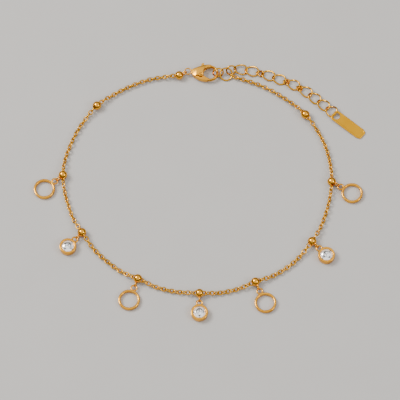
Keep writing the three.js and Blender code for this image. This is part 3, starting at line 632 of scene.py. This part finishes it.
def stone_form():
    """A round brilliant: table, star, kite and upper facets above the girdle, lower facets and culet below.

    The third result has a painted reflection for each face, the brightness painted on it in place of the
    light that it throws back. The table is cut into rings that carry painted reflections of the facets below
    it, the dark ones as an arc.
    """
    top, low = GIRDLE_TOP + CROWN, GIRDLE_LOW - PAVILION * LOWER_DEPTH
    rings = {
        "core": around(CULET_IMAGE, top, 8, 0.5), "arc": around(ARC_IMAGE, top, 8, 0.5),
        "table": around(TABLE_RADIUS, top, 8, 0.5),
        "star": around(STAR_RADIUS, GIRDLE_TOP + STAR_RISE * CROWN, 8),
        "upper": around(STONE_RADIUS, GIRDLE_TOP, 16), "under": around(STONE_RADIUS, GIRDLE_LOW, 16),
        "lower": around(LOWER_RADIUS, low, 8), "culet": [Vector((0, 0, GIRDLE_LOW - PAVILION))],
    }
    points, first = [], {}
    for name, ring in rings.items():
        first[name] = len(points)
        points += ring

    def at(name, i):
        return first[name] + i % len(rings[name])

    # Each facet is listed with its painted reflection, the brightness painted on it.
    facets = [(PAINTED_FACET_REFLECTIONS["culet"], [at("core", i) for i in range(8)])]
    for i in range(8):
        j, before, even, odd = i + 1, i - 1, 2 * i, 2 * i + 1
        facets += [
            (PAINTED_FACET_REFLECTIONS["core"][i], [at("core", i), at("core", j), at("arc", j), at("arc", i)]),
            (PAINTED_FACET_REFLECTIONS["arc"][i], [at("arc", i), at("arc", j), at("table", j), at("table", i)]),
            (PAINTED_FACET_REFLECTIONS["star"][i], [at("table", before), at("table", i), at("star", i)]),
            (PAINTED_FACET_REFLECTIONS["kite"], [at("table", i), at("star", i), at("upper", odd)]),
            (PAINTED_FACET_REFLECTIONS["kite"], [at("table", i), at("upper", odd), at("star", j)]),
            (PAINTED_FACET_REFLECTIONS["upper"][i], [at("star", i), at("upper", even), at("upper", odd)]),
            (PAINTED_FACET_REFLECTIONS["upper_pair"], [at("star", i), at("upper", even - 1), at("upper", even)]),
            (PAINTED_FACET_REFLECTIONS["lower"], [at("lower", i), at("under", even), at("under", odd)]),
            (PAINTED_FACET_REFLECTIONS["lower_pair"], [at("lower", i), at("under", even - 1), at("under", even)]),
            (PAINTED_FACET_REFLECTIONS["lower"], [at("lower", i), at("under", odd), at("lower", j)]),
            (PAINTED_FACET_REFLECTIONS["lower_pair"], [at("lower", i), at("lower", j), at("culet", 0)]),
        ]
    for i in range(16):
        side = [at("upper", i), at("under", i), at("under", i + 1), at("upper", i + 1)]
        facets.append((PAINTED_FACET_REFLECTIONS["girdle"], side))
    return points, [face for _, face in facets], [tone for tone, _ in facets]


def add_beads_and_charms():
    drilled = ball_form(BORE_ANGLE, math.pi - BORE_ANGLE)
    charms = {"ring": ring_charm_form(), "bezel": bezel_form()}
    *cut_stone, painted_reflections = stone_form()
    counts = {"station": 0, "ring": 0, "bezel": 0}
    for hold in route.holds[1:]:
        kind = hold["bead"]
        counts[kind] += 1
        centre, along = route.point(hold["at"]), route.tangent(hold["at"])
        centre.z = BEAD_RADIUS
        ball = moved(drilled, laid(centre, level(along)))
        if kind == "station":
            node = f"station_bead_{counts[kind]}"
            finished("round_" + node, node, ball, POLISHED)
            continue
        direction = heading(hold["turn"])
        node = f"charm_bead_{counts['ring'] + counts['bezel']}"
        finished("round_" + node, node, merged(ball, upright_eye(centre, direction, EYE_HEIGHT)), POLISHED)
        place = laid(level(centre + direction * (LOOP_OUT + LOOP_PLACE[kind][0])), direction)
        node = f"ring_charm_{counts[kind]}" if kind == "ring" else f"bezel_{counts[kind]}"
        finished("polished_" + node, node, moved(charms[kind], place), POLISHED)
        if kind == "bezel":
            node = f"stone_{counts[kind]}"
            finished("cut_" + node, node, moved(cut_stone, place), STONE, painted_reflections=painted_reflections)


def add_end_bead():
    """The end bead is drilled on the chain's side alone, and its eye holds the clasp's tail ring."""
    centre = level(END_BEAD) + upwards(BEAD_RADIUS)
    place = laid(centre, level(route.tangent(END_TANGENT_AT)))
    ball = moved(ball_form(CLOSED_ANGLE, math.pi - BORE_ANGLE), place)
    eye = upright_eye(centre, heading(END_HEADING + 180), MID)
    finished("round_end_bead", "end_bead", merged(ball, eye), POLISHED)


# Clasp: the cast body and lever are the part's own forms, remeshed finely with their edges softened
def domed(mesh):
    """Lowers the faces of the clasp's body towards its two long edges, then rounds it further."""
    to_clasp = (Matrix.Translation(ORIGIN + CLASP_PLACE) @ turned(CLASP_TURN, "Z")).inverted()
    bm = bmesh.new()
    bm.from_mesh(mesh)
    for v in bm.verts:
        x, y, z = to_clasp @ v.co
        side = min(abs(y) / DOME["half_width"], 1.0)
        inner = smooth_step((-x - DOME["behind"]) / DOME["run"])
        outer = smooth_step((abs(z - MID) - DOME["depth"]) / DOME["depth_run"])
        v.co.z = MID + (z - MID) * (1 - DOME["drop"] * side * side * inner * outer)
    for i in range(ROUNDED["rounds"]):
        low = ROUNDED["low"] + ROUNDED["low_in"] * i / ROUNDED["rounds"]
        high = ROUNDED["high"] - ROUNDED["high_in"] * i / ROUNDED["rounds"]
        body = [v for v in bm.verts if low < (to_clasp @ v.co).x < high]
        bmesh.ops.smooth_vert(bm, verts=body, factor=0.5, use_axis_x=True, use_axis_y=True, use_axis_z=True)
    bm.to_mesh(mesh)
    bm.free()


def add_cast_piece(node, body, dome=False):
    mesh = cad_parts[node].data.copy()
    mesh.transform(Matrix.Scale(1 / MM, 4))
    bm = bmesh.new()
    bm.from_mesh(mesh)
    bmesh.ops.remove_doubles(bm, verts=bm.verts, dist=WELD)
    bm.to_mesh(mesh)
    bm.free()
    work = bpy.data.objects.new("cast_" + node, mesh)
    bpy.context.scene.collection.objects.link(work)
    remesh = work.modifiers.new("remesh", "REMESH")
    remesh.mode = "VOXEL"
    remesh.voxel_size = VOXEL
    soft = work.modifiers.new("soft", "SMOOTH")
    soft.factor = 0.5
    soft.iterations = SOFT_ROUNDS
    shape = bpy.data.meshes.new_from_object(work.evaluated_get(bpy.context.evaluated_depsgraph_get()))
    if dome:
        domed(shape)
    form = ([v.co.copy() for v in shape.vertices], [tuple(p.vertices) for p in shape.polygons])
    bpy.data.objects.remove(work)
    bpy.data.meshes.remove(shape)
    finished("cast_" + node, node, form, CAST, body=body, origin=Vector((0, 0, 0)))


def add_pin():
    low, high = PIN["low"], PIN["high"]
    outline = [(AXIS_GAP, low), (PIN["radius"], low), (PIN["radius"], high), (AXIS_GAP, high)]
    pin = lathe_form(filleted(outline, PIN["rounding"], steps=4), PIN["steps"])
    finished("rivet_pin", "clasp_pin", moved(pin, Matrix.Translation(clasp_point(*PIVOT, 0))), POLISHED)


# Jump rings, extender and tag
def add_ring(node, ring):
    place = laid(ring_centre(ring), heading(ring["turn"]), ring["lean"], ring["pitch"])
    extra = DRAWN_WIRE - ring["wire"]
    drawn = ring_form(ring["diameter"] + extra, DRAWN_WIRE, WIRE_STEPS)
    finished("round_" + node, node, moved(drawn, place), WIRE)


def add_extender():
    """All links after the first. Returns the centre of the last one."""
    centre = ring_centre(FIRST_LINK)
    reach = FIRST_LINK["diameter"] / 2
    extra = DRAWN_WIRE - EXTENDER_WIRE
    for i, (kind_name, toward, own) in enumerate(EXTENDER):
        kind = KINDS[kind_name]
        step = reach + kind["length"] / 2 - 2 * EXTENDER_WIRE - LINK_PLAY - own.get("slack", 0)
        centre = centre + heading(toward) * step
        centre.z = kind["twist"] + EXTENDER_WIRE / 2 + own.get("lift", 0)
        following = EXTENDER[i + 1][1] if i + 1 < len(EXTENDER) else TAG_HEADING
        turn = own.get("turn", 0.5 * (toward + following))
        link = wire_form(kind["length"] + extra, kind["width"] + extra, DRAWN_WIRE, kind["twist"], WIRE_STEPS)
        node = f"extender_link_{i + 2}"
        place = laid(centre, heading(turn), pitch=own.get("pitch", 0))
        finished("twisted_" + node, node, moved(link, place), WIRE)
        reach = kind["length"] / 2
    return centre


def tag_outline(inset):
    near, far = -TAG["inset"] + inset, TAG["length"] - TAG["inset"] - inset
    half = TAG["width"] / 2 - inset
    corner = max(TAG["corner"] - inset, TAG_LEAST_CORNER)
    outline = []
    for x, y, start in ((far - corner, half - corner, 0), (near + corner, half - corner, 90),
                        (near + corner, corner - half, 180), (far - corner, corner - half, 270)):
        for k in range(TAG_CORNER_STEPS + 1):
            a = math.radians(start + 90 * k / TAG_CORNER_STEPS)
            outline.append((x + corner * math.cos(a), y + corner * math.sin(a)))
    return outline


def reach_at(angle, outline):
    """How far a ray from the origin goes before it meets a closed outline."""
    ray = Vector((math.cos(angle), math.sin(angle)))
    reach = 0.0
    for i, (x, y) in enumerate(outline):
        start, side = Vector((x, y)), Vector(outline[i - 1]) - Vector((x, y))
        cross = ray.cross(side)
        if abs(cross) > 1e-9 and -1e-6 <= start.cross(ray) / cross <= 1 + 1e-6:
            reach = max(reach, start.cross(side) / cross)
    return reach


def tag_form():
    """A flat bar with a low border round its sunk faces and a round hole at the origin."""
    even = {2 * math.pi * i / TAG_ANGLES - math.pi for i in range(TAG_ANGLES)}
    angles = sorted(even | {math.atan2(y, x) for x, y in tag_outline(TAG_BORDER)})

    def ring(edge, away, z):
        if edge == "hole":
            reaches = [TAG["hole"] / 2 + away] * len(angles)
        else:
            outline = tag_outline(away)
            reaches = [reach_at(a, outline) for a in angles]
        return [Vector((math.cos(a), math.sin(a), 0)) * reach + upwards(z)
                for a, reach in zip(angles, reaches)]

    upper = [(edge, away, TAG["thickness"] / 2 - depth) for edge, away, depth in TAG_SECTION]
    lower = [(edge, away, -z) for edge, away, z in reversed(upper)]
    return grid_form([ring(*row) for row in (("hole", 0, 0.0), *upper, *lower)])


def add_tag(link_centre):
    """The tag hangs on the extender's last link and leans down from it to the floor."""
    hole_out = (KINDS["end"]["length"] - EXTENDER_WIRE) / 2 + TAG["hole"] / 2 - EXTENDER_WIRE / 2 - LINK_PLAY
    far = TAG["length"] - TAG["inset"]
    tilt = math.degrees(math.asin((link_centre.z - TAG["thickness"] / 2) / far))
    place = laid(link_centre + heading(TAG_HOLE_HEADING) * hole_out, heading(TAG_HEADING), pitch=-tilt)
    finished("plain_end_tag", "end_tag", moved(tag_form(), place), FLAT, sharp=TAG_SHARP)


# Floor and light
def add_floor():
    s = FLOOR_SIZE / 2
    mesh = bpy.data.meshes.new("floor")
    mesh.from_pydata([(-s, -s, 0), (s, -s, 0), (s, s, 0), (-s, s, 0)], [], [(0, 1, 2, 3)])
    mesh.materials.append(floor_material())
    floor = bpy.data.objects.new("floor", mesh)
    bpy.context.scene.collection.objects.link(floor)
    floor.location.z = -FLOOR_DROP


def add_light(name, place, size, power, colour):
    """A soft rectangular light that faces the frame's origin."""
    data = bpy.data.lights.new(name, "AREA")
    data.shape = "RECTANGLE"
    data.size, data.size_y = size
    data.energy = power
    data.color = colour
    lamp = bpy.data.objects.new(name, data)
    bpy.context.scene.collection.objects.link(lamp)
    lamp.location = place
    lamp.rotation_euler = (Vector(place) * -1).to_track_quat("-Z", "Y").to_euler()


def add_sky():
    """A soft dome, bright overhead and dim towards the horizon."""
    world = bpy.data.worlds.new("studio")
    bpy.context.scene.world = world
    world.use_nodes = True
    nodes, links = world.node_tree.nodes, world.node_tree.links
    sky = nodes["Background"]
    parts = nodes.new("ShaderNodeSeparateXYZ")
    links.new(nodes.new("ShaderNodeTexCoord").outputs["Generated"], parts.inputs["Vector"])
    up = parts.outputs["Z"]
    colour = ramped(nodes, links, up, (0.06, 0.06, 0.07), (1.0, 0.98, 0.96), start=0.25, end=0.85)
    links.new(colour, sky.inputs["Color"])
    sky.inputs["Strength"].default_value = SKY_STRENGTH


add_chain()
add_beads_and_charms()
add_end_bead()
add_cast_piece("clasp_body", "anklet", dome=True)
add_cast_piece("clasp_lever", "lever")
add_pin()
add_ring("jump_ring_clasp", RING_A)
add_ring("jump_ring_join", RING_B)
add_ring("extender_link_1", FIRST_LINK)
add_tag(add_extender())
add_floor()
for light_name, light in LIGHTS.items():
    add_light(light_name, **light)
add_sky()
